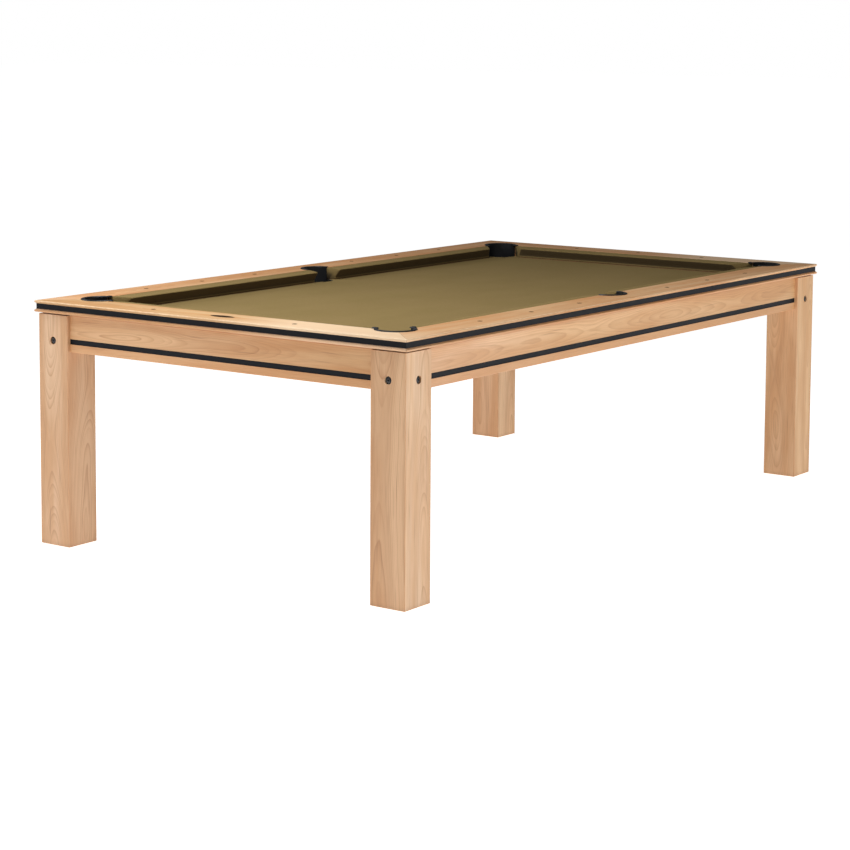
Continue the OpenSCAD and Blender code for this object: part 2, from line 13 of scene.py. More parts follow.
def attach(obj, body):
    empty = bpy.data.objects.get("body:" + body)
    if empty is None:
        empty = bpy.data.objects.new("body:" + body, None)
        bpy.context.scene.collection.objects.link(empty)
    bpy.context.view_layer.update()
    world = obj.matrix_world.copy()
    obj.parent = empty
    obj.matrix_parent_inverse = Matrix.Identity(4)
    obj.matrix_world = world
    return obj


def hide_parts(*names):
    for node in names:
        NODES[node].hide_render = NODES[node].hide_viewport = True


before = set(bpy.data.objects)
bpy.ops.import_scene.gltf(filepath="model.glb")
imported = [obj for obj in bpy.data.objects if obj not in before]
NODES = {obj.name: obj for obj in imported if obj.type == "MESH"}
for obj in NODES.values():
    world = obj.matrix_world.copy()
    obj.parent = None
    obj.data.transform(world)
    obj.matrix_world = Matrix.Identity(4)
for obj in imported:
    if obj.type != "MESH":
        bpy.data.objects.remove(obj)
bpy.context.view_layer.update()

# ---- sizes that the pieces repeat from the CAD, in metres ----
NOSE_X, NOSE_Y = 1.1176, 0.5588      # cushion nose lines
WOOD_X, WOOD_Y = 1.1688, 0.6100      # where cushion and wood meet
EDGE_X, EDGE_Y = 1.2924, 0.7336      # outer edges of the rails
LEG_X, LEG_Y, LEG = 1.2824, 0.7236, 0.125
RAIL_TOP, BED = 0.787, 0.745
STRIP_LOW, STRIP_HIGH = 0.760, 0.777     # the rails' black strip
APRON_LOW, APRON_STRIP_LOW = 0.629, 0.654
APRON_IN = 0.012                         # how far the aprons lie behind the legs' faces
SHADOW_LINE = 0.7455                     # a darker line along the aprons, under the rails
RAIL_HEART, APRON_HEART = 0.07, 0.700    # where the figure is centred: in from the rail's edge, up the apron
COLLAR_TOP = 0.7905
POCKET_X, POCKET_Y, POCKET_SIDE_Y = 1.1436, 0.5848, 0.6110   # centres of the pockets
CORNERS = {"front_left": (-1, -1), "front_right": (1, -1), "back_left": (-1, 1), "back_right": (1, 1)}


def srgb(r, g, b):
    """Linear colour of 0-255 screen values."""
    def one(v):
        v /= 255
        return v / 12.92 if v <= 0.04045 else ((v + 0.055) / 1.055) ** 2.4
    return one(r), one(g), one(b), 1.0


# ---- node trees ----

class Paint:
    """One procedural material. Values may be numbers, triples or sockets; each call returns a socket."""

    def __init__(self, name, **shader):
        self.mat = bpy.data.materials.new(name)
        self.mat.use_nodes = True
        self.tree = self.mat.node_tree
        self.bsdf = self.tree.nodes["Principled BSDF"]
        for socket, value in shader.items():
            self.bsdf.inputs[socket.replace("_", " ")].default_value = value
        self.where = self.add("ShaderNodeTexCoord", output="Object")
        self.xyz = self.split(self.where)

    def add(self, kind, values=(), output=0, **settings):
        node = self.tree.nodes.new(kind)
        for key, value in settings.items():
            setattr(node, key, value)
        for key, value in (values.items() if isinstance(values, dict) else enumerate(values)):
            if isinstance(value, bpy.types.NodeSocket):
                self.tree.links.new(value, node.inputs[key])
            elif value is not None:
                node.inputs[key].default_value = value
        return node.outputs[output]

    def math(self, operation, *values):
        return self.add("ShaderNodeMath", values, operation=operation)

    def plus(self, a, b):
        return self.math("ADD", a, b)

    def minus(self, a, b):
        return self.math("SUBTRACT", a, b)

    def times(self, a, b):
        return self.math("MULTIPLY", a, b)

    def split(self, vector):
        node = self.tree.nodes.new("ShaderNodeSeparateXYZ")
        self.tree.links.new(vector, node.inputs[0])
        return tuple(node.outputs)

    def join(self, x, y, z):
        return self.add("ShaderNodeCombineXYZ", (x, y, z))

    def noise(self, vector, scale=1.0, detail=2.0, roughness=0.5):
        return self.add("ShaderNodeTexNoise", {
            "Vector": vector, "Scale": scale, "Detail": detail, "Roughness": roughness})

    def cells(self, vector, scale=1.0, output="Distance", **settings):
        return self.add("ShaderNodeTexVoronoi", {"Vector": vector, "Scale": scale}, output, **settings)

    def span(self, value, low, high, to_low=0.0, to_high=1.0):
        """to_low at low, to_high at high, and a smooth step between."""
        return self.add("ShaderNodeMapRange", (value, low, high, to_low, to_high),
                        interpolation_type="SMOOTHSTEP")

    def mix(self, share, a, b, blend="MIX"):
        node = self.tree.nodes.new("ShaderNodeMix")
        node.data_type, node.blend_type = "RGBA", blend
        for key, value in ((0, share), (6, a), (7, b)):
            if isinstance(value, bpy.types.NodeSocket):
                self.tree.links.new(value, node.inputs[key])
            else:
                node.inputs[key].default_value = value
        return node.outputs[2]

    def either(self, share, a, b):
        """a where share is 0, b where it is 1, for plain numbers."""
        return self.plus(a, self.times(share, self.minus(b, a)))

    def finish(self, colour=None, roughness=None, height=None, depth=0.0002, strength=0.5):
        links = self.tree.links
        if colour is not None:
            links.new(colour, self.bsdf.inputs["Base Color"])
        if roughness is not None:
            links.new(roughness, self.bsdf.inputs["Roughness"])
        if height is not None:
            bump = self.add("ShaderNodeBump", {"Strength": strength, "Distance": depth, "Height": height})
            links.new(bump, self.bsdf.inputs["Normal"])
        return self.mat


def dress(material, *names):
    """Gives one material to whole CAD nodes or pieces."""
    for name in names:
        obj = NODES[name] if isinstance(name, str) else name
        obj.data.materials.clear()
        obj.data.materials.append(material)


# ---- wood ----

def grain(p, along, across, deep, seed, pith, ring, sweep):
    """Growth rings of a board cut beside the heart, pith deep, ring apart, swaying by sweep, in metres.

    Returns (ring line 0-1, slow tone, fibre, fleck, arc).
    """
    slow = p.join(p.times(along, 1.1), seed, 3.7)
    slow_b = p.join(p.times(along, 0.9), seed, 9.1)
    sway = p.times(p.minus(p.noise(slow, 1.0, 1.0), 0.5), sweep * 1.6)
    lift = p.times(p.minus(p.noise(slow_b, 1.3, 1.5), 0.5), sweep * 3.4)
    fine = p.join(p.times(along, 5.0), p.times(across, 16.0), p.plus(p.times(deep, 16.0), seed))
    wobble = p.times(p.minus(p.noise(fine, 1.0, 2.0), 0.5), 0.009)
    a = p.plus(p.plus(across, sway), wobble)
    d = p.plus(p.plus(deep, pith), lift)
    reach = p.math("SQRT", p.plus(p.times(a, a), p.times(d, d)))
    reach = p.plus(reach, p.times(wobble, 0.6))
    uneven = p.noise(p.join(p.times(reach, 90.0), seed, 0.0), 1.0, 1.0)
    phase = p.plus(p.times(reach, 1 / ring), p.times(uneven, 1.6))
    part = p.math("FRACT", phase)
    line = p.times(p.math("POWER", part, 2.4), p.span(part, 1.0, 0.90))
    weight = p.noise(p.join(p.math("FLOOR", phase), seed, 1.0), 1.0, 0.0)
    line = p.times(line, p.span(weight, 0.3, 0.7, 0.2, 1.0))
    arc = p.noise(p.join(p.times(reach, 34.0), seed, 6.0), 1.0, 2.0, 0.6)
    broad = p.join(p.times(along, 1.6), p.times(across, 15.0), p.plus(p.times(deep, 15.0), seed + 4.0))
    tone = p.noise(broad, 1.0, 3.0, 0.55)
    thread = p.join(p.times(along, 14.0), p.times(across, 700.0), p.times(deep, 700.0))
    fibre = p.noise(thread, 1.0, 3.0, 0.6)
    streak = p.join(p.times(along, 7.0), p.times(across, 190.0), p.plus(p.times(deep, 190.0), seed))
    fleck = p.span(p.noise(streak, 1.0, 1.0), 0.60, 0.78)
    return line, tone, fibre, fleck, arc


def wood_colour(p, parts, tint, strong=1.0):
    """Colour, roughness and height of lacquered light hardwood."""
    line, tone, fibre, fleck, arc = parts
    pale, mid, warm, dark = tint
    colour = p.mix(p.span(tone, 0.36, 0.64), pale, warm)
    colour = p.mix(p.times(p.span(arc, 0.40, 0.72), 0.36 * strong), colour, mid)
    colour = p.mix(p.times(line, 0.80 * strong), colour, mid)
    colour = p.mix(p.times(p.span(line, 0.55, 1.0), 0.22 * strong), colour, dark)
    colour = p.mix(p.times(p.span(fibre, 0.35, 0.75), 0.20), colour, dark)
    colour = p.mix(p.times(fleck, 0.34 * strong), colour, dark)
    rough = p.plus(p.span(fibre, 0.2, 0.8, 0.42, 0.54), p.times(line, 0.05))
    height = p.plus(p.times(fibre, 0.5), p.times(line, -0.35))
    return colour, rough, height


# Wood colours: pale, ring line, warm, dark
TINT = (srgb(232, 194, 157), srgb(190, 142, 102), srgb(216, 168, 124), srgb(154, 106, 70))
TINT_WARM = (srgb(228, 184, 138), srgb(184, 129, 82), srgb(214, 160, 110), srgb(150, 98, 60))
SATIN = dict(Specular_IOR_Level=0.45, Coat_Weight=0.10, Coat_Roughness=0.3)
ORANGE, CREAM = srgb(198, 140, 92), srgb(238, 211, 177)
# painted light: where a rail is painted paler towards its end on the near left corner: from, to, and the
# share at each
PAINTED_LIGHT_END = {"y": (0.02, -0.34, 0.0, 0.65), "x": (-1.05, -1.28, 0.0, 0.35)}


def edge_lacquer_and_highlight(p, colour, distance, width, share, tint=ORANGE):
    """Wood within width of an edge mixed with tint: orange lacquer built up thick on the legs and aprons, a
    pale painted highlight on the rails. Metres.
    """
    edge_noise = p.noise(p.where, 60.0, 3.0, 0.6)
    share = p.times(p.span(distance, width, 0.0), p.span(edge_noise, 0.35, 0.6, share * 0.5, share))
    return p.mix(share, colour, tint)


def leg_wood(name, sx, sy, seed, painted_light_x, painted_light_y):
    """Four boards round a hollow: each face is a board of its own, grain upright."""
    p = Paint(name, **SATIN)
    x, y, z = p.xyz
    nx, ny, _ = p.split(p.add("ShaderNodeNewGeometry", output="True Normal"))
    side_x, side_y = p.math("ROUND", nx), p.math("ROUND", ny)
    is_x = p.math("ABSOLUTE", side_x)
    cx, cy = sx * (LEG_X - LEG / 2), sy * (LEG_Y - LEG / 2)
    from_cx, from_cy = p.minus(x, cx), p.minus(y, cy)
    across = p.either(is_x, from_cx, from_cy)
    deep = p.math("ABSOLUTE", p.either(is_x, from_cy, from_cx))
    deep = p.minus(LEG / 2, deep)
    board = p.plus(p.times(side_x, 3.3), p.times(side_y, 7.9))
    along = p.plus(z, board)
    shifted = p.plus(across, p.times(board, 0.004))
    parts = grain(p, along, shifted, deep, seed, 0.040, 0.0042, 0.062)
    colour, rough, height = wood_colour(p, parts, TINT, 1.2)
    # painted light and shade: each face is multiplied by its own colour, lighter or darker as light falls on
    # it
    colour = p.mix(is_x, colour, painted_light_x, "MULTIPLY")
    colour = p.mix(p.minus(1.0, is_x), colour, painted_light_y, "MULTIPLY")
    inset_x = p.minus(LEG / 2, p.math("ABSOLUTE", from_cx))
    inset_y = p.minus(LEG / 2, p.math("ABSOLUTE", from_cy))
    colour = edge_lacquer_and_highlight(p, colour, p.math("MAXIMUM", inset_x, inset_y), 0.0030, 0.6)
    low = p.span(z, 0.02, 0.0, 0.0, 0.30)
    colour = p.mix(low, colour, srgb(150, 112, 80))
    return p.finish(colour, rough, height, 0.00015, 0.35)


def turning(p, colour, along, start, stop, shade):
    """A board whose colour changes along its length, from its own colour at start to shade times it at stop;
    on the front rail, painted light.
    """
    return p.mix(p.span(along, start, stop), colour, shade, "MULTIPLY")


def rail_wood(name, lengthwise, sign, seed, shade, turn):
    """A rail, grain along its length, a fine dark line at the mitres, painted light and shade, and a pale
    painted highlight on its top edge.
    """
    p = Paint(name, **SATIN)
    x, y, z = p.xyz
    along, side = (x, y) if lengthwise == "x" else (y, x)
    edge = EDGE_Y if lengthwise == "x" else EDGE_X
    inward = p.minus(edge, p.times(side, sign))
    deep = p.minus(RAIL_TOP, z)
    parts = grain(p, along, p.minus(inward, RAIL_HEART), deep, seed, 0.05, 0.0046, 0.034)
    colour, rough, height = wood_colour(p, parts, TINT_WARM)
    stretched = p.join(p.times(along, 3.0), p.times(inward, 60.0), p.plus(p.times(deep, 60.0), seed))
    streak = p.noise(stretched, 1.0, 2.0)
    colour = p.mix(p.times(p.span(streak, 0.50, 0.66), 0.55), colour, srgb(208, 140, 80))
    gap = p.minus(p.minus(EDGE_X, p.math("ABSOLUTE", x)), p.minus(EDGE_Y, p.math("ABSOLUTE", y)))
    # painted shade over the whole rail, then painted light along its length
    colour = turning(p, p.mix(1.0, colour, shade, "MULTIPLY"), along, *turn)
    # painted light: the rail turns cream towards the near left corner
    colour = p.mix(p.span(along, *PAINTED_LIGHT_END[lengthwise]), colour, CREAM)
    mitre = p.span(p.math("ABSOLUTE", gap), 0.0009, 0.0003)
    colour = p.mix(p.times(mitre, 0.8), colour, srgb(92, 60, 36))
    top = p.math("MAXIMUM", inward, deep)
    # painted highlight: a pale cream line along the rail's top outer edges
    colour = edge_lacquer_and_highlight(p, colour, top, 0.0046, 0.85, CREAM)
    # painted shade on the wood inside the black strip's groove, darker above the strip's lower edge
    shadow = p.span(p.minus(z, STRIP_LOW), 0.0, -0.003, 0.35, 0.0)
    groove_shade = p.times(p.span(inward, 0.0, 0.003), p.span(z, STRIP_HIGH + 0.001, STRIP_HIGH))
    colour = p.mix(p.times(groove_shade, p.plus(0.35, shadow)), colour, srgb(96, 62, 38))
    lip = p.span(z, STRIP_LOW, STRIP_LOW - 0.002)
    colour = p.mix(p.times(lip, 0.40), colour, srgb(196, 134, 84))
    height = p.minus(height, p.times(mitre, 2.0))
    return p.finish(colour, rough, height, 0.00015, 0.35)


def apron_wood(name, lengthwise, sign, seed, tint, turn):
    """An apron: an upright board with its grain along the table's side."""
    p = Paint(name, **SATIN)
    x, y, z = p.xyz
    along, side = (x, y) if lengthwise == "x" else (y, x)
    face = (LEG_Y if lengthwise == "x" else LEG_X) - APRON_IN
    deep = p.minus(face, p.times(side, sign))
    parts = grain(p, along, p.minus(z, APRON_HEART), deep, seed, 0.04, 0.0040, 0.040)
    colour, rough, height = wood_colour(p, parts, tint, 1.15)
    colour = turning(p, colour, along, *turn)
    line = p.span(p.math("ABSOLUTE", p.minus(z, SHADOW_LINE)), 0.0022, 0.0006)
    colour = p.mix(p.times(line, 0.5), colour, srgb(176, 106, 62))
    low = p.span(z, APRON_STRIP_LOW + 0.0005, APRON_STRIP_LOW - 0.0005)
    colour = p.mix(p.times(low, 0.35), colour, srgb(206, 146, 96))
    edge = p.math("MAXIMUM", p.minus(z, APRON_LOW), deep)
    colour = edge_lacquer_and_highlight(p, colour, edge, 0.002, 0.5)
    return p.finish(colour, rough, height, 0.00015, 0.35)


def frame_wood(name, lengthwise, seed):
    """Unfinished timber of the frame under the slates: paler, drier, with saw marks."""
    p = Paint(name, Specular_IOR_Level=0.25)
    x, y, z = p.xyz
    along, side = (x, y) if lengthwise == "x" else (y, x)
    parts = grain(p, along, z, side, seed, 0.03, 0.0065, 0.03)
    tint = (srgb(214, 188, 146), srgb(168, 126, 82), srgb(202, 168, 120), srgb(140, 102, 66))
    colour, _, height = wood_colour(p, parts, tint, 1.2)
    saw = p.math("SINE", p.times(p.plus(along, p.times(z, 0.12)), 1400.0))
    saw = p.times(saw, p.noise(p.where, 7.0, 2.0))
    rough = p.span(p.noise(p.where, 90.0, 3.0), 0.3, 0.7, 0.68, 0.86)
    return p.finish(colour, rough, p.plus(height, p.times(saw, 0.2)), 0.0004, 0.5)


# ---- cloth ----

def cloth_paint(name):
    """Worsted wool cloth: a twill weave of 0.8 mm under a short brushed nap, uneven in tone."""
    p = Paint(name, Specular_IOR_Level=0.10, Sheen_Weight=0.12, Sheen_Roughness=0.5)
    p.bsdf.inputs["Sheen Tint"].default_value = srgb(176, 160, 112)
    x, y, z = p.xyz
    twist = p.times(p.minus(p.noise(p.where, 220.0, 2.0), 0.5), 0.0006)
    warp = p.math("SINE", p.times(p.plus(p.plus(x, p.times(z, 0.7)), twist), 2 * math.pi / 0.0011))
    weft = p.math("SINE", p.times(p.plus(p.plus(y, p.times(z, 0.7)), twist), 2 * math.pi / 0.0008))
    diagonal = p.math("SINE", p.times(p.plus(p.plus(x, y), z), 2 * math.pi / 0.0016))
    weave = p.plus(p.times(p.plus(warp, weft), 0.35), p.times(diagonal, 0.3))
    long_way = p.join(p.times(x, 260.0), p.times(y, 900.0), p.times(z, 900.0))
    nap = p.noise(long_way, 1.0, 3.0, 0.65)
    mottle = p.noise(p.where, 5.0, 2.0, 0.5)
    under = p.span(p.split(p.add("ShaderNodeNewGeometry", output="Normal"))[2], 0.0, -0.35)
    brushed = p.noise(p.join(p.times(x, 1.6), p.times(y, 9.0), z), 1.0, 2.0, 0.5)
    colour = p.mix(p.span(mottle, 0.3, 0.7), srgb(129, 110, 69), srgb(132, 112, 72))
    colour = p.mix(p.times(p.span(nap, 0.35, 0.7), 0.30), colour, srgb(104, 86, 49))
    colour = p.mix(p.times(p.span(weave, 0.4, -0.8), 0.20), colour, srgb(86, 70, 40))
    colour = p.mix(p.times(p.span(brushed, 0.42, 0.62), 0.06), colour, srgb(150, 130, 86))
    # painted shade: cloth that faces downwards, as on the cushions' faces, is darker and greyer
    colour = p.mix(p.times(under, 0.90), colour, srgb(80, 68, 50))
    rough = p.span(nap, 0.25, 0.75, 0.82, 0.95)
    height = p.plus(p.times(weave, 0.5), nap)
    return p.finish(colour, rough, height, 0.0003, 0.5)


# ---- plastics, metals, slate and rubber ----

def black_strip(name):
    """Satin black strip, faintly brushed and clouded along X."""
    p = Paint(name, Specular_IOR_Level=0.12)
    x, _, z = p.xyz
    brush = p.noise(p.join(p.times(x, 18.0), p.times(z, 2600.0), 2.0), 1.0, 3.0, 0.6)
    cloud = p.noise(p.join(p.times(x, 3.0), p.times(z, 30.0), 5.0), 1.0, 2.0)
    colour = p.mix(p.span(cloud, 0.35, 0.65), srgb(17, 18, 21), srgb(25, 26, 30))
    colour = p.mix(p.times(p.span(brush, 0.4, 0.8), 0.3), colour, srgb(42, 43, 49))
    rough = p.span(brush, 0.2, 0.8, 0.40, 0.55)
    return p.finish(colour, rough, brush, 0.00006, 0.3)


def moulded_black(name):
    """Moulded pocket plastic: satin, faint pebble grain, a few fine scuffs, and pale bluish rims that are
    rubbed wear and a painted highlight.
    """
    p = Paint(name, Specular_IOR_Level=0.3)
    x, y, z = p.xyz
    pebble = p.cells(p.where, 900.0, feature="SMOOTH_F1")
    cloud = p.noise(p.where, 12.0, 3.0)
    scratch = p.noise(p.join(p.times(x, 60.0), p.times(y, 700.0), z), 1.0, 2.0)
    scuff = p.span(scratch, 0.68, 0.8)
    colour = p.mix(p.span(cloud, 0.3, 0.7), srgb(20, 21, 22), srgb(29, 30, 32))
    colour = p.mix(p.times(scuff, 0.25), colour, srgb(66, 66, 70))
    # rubbed wear and a painted highlight: a pale bluish band along the collars' tops
    rim = p.times(p.span(z, COLLAR_TOP - 0.002, COLLAR_TOP), 0.18)
    colour = p.mix(rim, colour, srgb(70, 70, 76))
    rough = p.plus(p.span(cloud, 0.3, 0.7, 0.34, 0.46), p.times(scuff, 0.15))
    return p.finish(colour, rough, p.plus(p.times(pebble, -0.6), p.times(scuff, 0.2)), 0.0002, 0.35)


def nylon(name):
    """Dark moulded nylon, clouded and gritty."""
    p = Paint(name, Specular_IOR_Level=0.4)
    cloud = p.noise(p.where, 40.0, 3.0)
    grit = p.noise(p.where, 900.0, 2.0)
    colour = p.mix(p.span(cloud, 0.3, 0.7), srgb(34, 34, 35), srgb(52, 51, 50))
    return p.finish(colour, p.span(grit, 0.3, 0.7, 0.45, 0.65), grit, 0.0001, 0.4)


def rubber(name):
    """Red-brown cushion rubber."""
    p = Paint(name, Specular_IOR_Level=0.3)
    cloud = p.noise(p.where, 25.0, 4.0)
    grit = p.noise(p.where, 1200.0, 2.0)
    colour = p.mix(p.span(cloud, 0.3, 0.7), srgb(120, 66, 48), srgb(146, 86, 62))
    return p.finish(colour, p.span(cloud, 0.3, 0.7, 0.6, 0.75), grit, 0.0002, 0.4)


def slate_stone(name):
    """Grey slate with thin darker layers and a gritty face."""
    p = Paint(name, Specular_IOR_Level=0.35)
    x, y, z = p.xyz
    layers = p.noise(p.join(p.times(x, 2.0), p.times(y, 2.0), p.times(z, 160.0)), 1.0, 4.0, 0.6)
    cloud = p.noise(p.where, 5.0, 5.0, 0.6)
    grit = p.noise(p.where, 500.0, 3.0, 0.6)
    colour = p.mix(p.span(cloud, 0.3, 0.7), srgb(74, 79, 84), srgb(98, 102, 104))
    colour = p.mix(p.times(p.span(layers, 0.5, 0.7), 0.4), colour, srgb(58, 63, 70))
    height = p.plus(p.times(layers, 2.0), grit)
    return p.finish(colour, p.span(grit, 0.3, 0.7, 0.55, 0.78), height, 0.0004, 0.5)


def metal(name, low, high, rough, metallic=1.0):
    """Metal with a cloudy finish and fine marks."""
    p = Paint(name, Metallic=metallic, Specular_IOR_Level=0.5)
    cloud = p.noise(p.where, 60.0, 4.0, 0.6)
    marks = p.noise(p.join(*(p.times(v, 1500.0) for v in p.xyz)), 1.0, 2.0)
    colour = p.mix(p.span(cloud, 0.3, 0.7), low, high)
    return p.finish(colour, p.span(cloud, 0.3, 0.7, rough - 0.06, rough + 0.08), marks, 0.00005, 0.3)


def bronze_plate(name):
    """Dark brown plate, brushed along X and clouded."""
    p = Paint(name, Metallic=0.0, Specular_IOR_Level=0.03)
    x, y, z = p.xyz
    brush = p.noise(p.join(p.times(x, 30.0), p.times(y, 2200.0), z), 1.0, 3.0)
    cloud = p.noise(p.where, 30.0, 3.0)
    colour = p.mix(p.span(cloud, 0.3, 0.7), srgb(36, 24, 16), srgb(54, 37, 23))
    colour = p.mix(p.times(p.span(brush, 0.45, 0.8), 0.4), colour, srgb(24, 17, 12))
    return p.finish(colour, p.span(brush, 0.2, 0.8, 0.34, 0.5), brush, 0.00006, 0.3)


def sight_dot(name):
    """Dark brown sights, clouded."""
    p = Paint(name, Specular_IOR_Level=0.0)
    cloud = p.noise(p.where, 300.0, 3.0)
    colour = p.mix(p.span(cloud, 0.3, 0.7), srgb(27, 17, 12), srgb(42, 28, 19))
    return p.finish(colour, p.span(cloud, 0.3, 0.7, 0.35, 0.5), cloud, 0.00005, 0.3)


# ---- mesh helpers ----

def make_object(name, bm, smooth=True):
    """Puts a mesh in the scene, with its normals facing out."""
    mesh = bpy.data.meshes.new(name)
    bmesh.ops.recalc_face_normals(bm, faces=bm.faces)
    bm.to_mesh(mesh)
    bm.free()
    if smooth:
        mesh.polygons.foreach_set("use_smooth", [True] * len(mesh.polygons))
    obj = bpy.data.objects.new(name, mesh)
    bpy.context.scene.collection.objects.link(obj)
    return obj


def thicken(obj, thickness):
    """Makes a single skin a cloth of that thickness, below the skin."""
    solid = obj.modifiers.new("thickness", "SOLIDIFY")
    solid.thickness = thickness
    solid.offset = -1.0


# ---- cushions ----

# Skin of a cushion from under its foot, over the nose, to the groove at the wood:
# distance from the wood and height above the bed, in millimetres
CUSHION_SKIN = [
    (1.0, 0.4), (11.0, 0.4), (22.0, 0.4), (31.0, 0.5), (32.4, 1.0), (32.9, 2.2), (33.0, 5.0), (33.2, 7.4),
    (34.2, 9.8), (36.5, 13.2), (40.0, 18.2), (43.5, 23.3), (47.0, 28.3), (49.4, 31.8), (50.5, 33.6),
    (51.0, 35.0), (51.15, 36.0),
    (50.7, 36.9), (49.6, 37.5), (47.5, 38.0), (44.0, 38.5), (38.0, 39.2), (30.0, 40.1), (22.0, 40.9),
    (14.0, 41.4), (7.0, 41.6), (3.0, 41.5), (1.2, 41.2), (0.5, 40.4), (0.3, 38.6),
]


def cushion_skin(name, length_of, place):
    """A cloth pulled over one cushion.

    length_of(v) gives its two ends at distance v from the wood, and place(u, v, z) a point of it.
    """
    count = 46
    end_rings = [(0.0, 1.6), (0.5, 0.55), (1.6, 0.0)]  # (inset of the ring, its shrinking), in mm
    middle = [sum(values) / len(CUSHION_SKIN) for values in zip(*CUSHION_SKIN)]
    bm = bmesh.new()
    rows = []

    def ring(share, inset, shrink):
        row = []
        for v, h in CUSHION_SKIN:
            away = math.hypot(v - middle[0], h - middle[1])
            k = 1 - shrink / away if v > 1.0 else 1.0
            vv, hh = middle[0] + (v - middle[0]) * k, middle[1] + (h - middle[1]) * k
            low, high = length_of(vv / 1000)
            if share < 0.5:
                low += inset / 1000
            else:
                high -= inset / 1000
            row.append(bm.verts.new(place(low + (high - low) * share, vv / 1000, BED + hh / 1000)))
        return row

    for inset, shrink in end_rings:
        rows.append(ring(0.0, inset, shrink))
    for i in range(1, count):
        rows.append(ring(i / count, 0.0, 0.0))
    for inset, shrink in reversed(end_rings):
        rows.append(ring(1.0, inset, shrink))
    for a, b in zip(rows, rows[1:]):
        for i in range(len(a) - 1):
            bm.faces.new((a[i], a[i + 1], b[i + 1], b[i]))
    for row in (rows[0], rows[-1]):
        centre = bm.verts.new(sum((v.co for v in row), Vector()) / len(row))
        for i in range(len(row) - 1):
            bm.faces.new((row[i], row[i + 1], centre))
        bm.faces.new((row[-1], row[0], centre))
    return make_object(name, bm)


# How far a cushion's ends stop short of the pocket corner, at its nose and at the wood
SIDE_NOSE, SIDE_JAW = 0.06475, 0.051
CORNER_NOSE, CORNER_JAW = 0.0898, 0.029
CUSHION_CLOTH, BED_CLOTH = 0.0008, 0.0009      # thickness of the cloths
NOSE = 0.0512                                  # how far the nose stands out from the wood


def lerp(a, b, t):
    return a + (b - a) * t


def long_ends(v):
    t = v / NOSE
    return lerp(SIDE_JAW, SIDE_NOSE, t), lerp(NOSE_X - CORNER_JAW, NOSE_X - CORNER_NOSE, t)


def short_ends(v):
    t = v / NOSE
    half = lerp(NOSE_Y - CORNER_JAW, NOSE_Y - CORNER_NOSE, t)
    return -half, half


def cushions(material):
    """Six cloths, each over its own rubber."""
    made = []
    for key, (sx, sy) in CORNERS.items():
        name = "cushion_cloth_" + key
        piece = cushion_skin("fabric_" + name, long_ends,
                             lambda u, v, z, sx=sx, sy=sy: (sx * u, sy * (WOOD_Y - v), z))
        made.append((piece, name, "rubber_" + key, long_ends))
    for key, sx in (("left", -1), ("right", 1)):
        name = "cushion_cloth_" + key
        piece = cushion_skin("fabric_" + name, short_ends,
                             lambda u, v, z, sx=sx: (sx * (WOOD_X - v), u, z))
        made.append((piece, name, "rubber_" + key, short_ends))
    for piece, node, core, ends in made:
        low, high = ends(0.0)
        thicken(piece, CUSHION_CLOTH)
        dress(material, piece)
        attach(piece, "table")
        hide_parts(node)


# ---- bed cloth ----

BED_X, BED_Y = 1.2430, 0.6840                  # half the slates' length and width
CORNER_HOLE, SIDE_HOLE = 0.057, 0.055          # radii of the slates' holes
LIP = 0.0022                                   # where the cloth begins to turn down, beyond a hole
# The drawn-down rim: (distance outside the slate's hole, drop)
RIM_DROP = [(0.0012, 0.00025), (0.0004, 0.0009), (-0.0001, 0.0018), (-0.0003, 0.0030)]
HOLE_STEPS, GRID_X, GRID_Y = 72, 50, 28


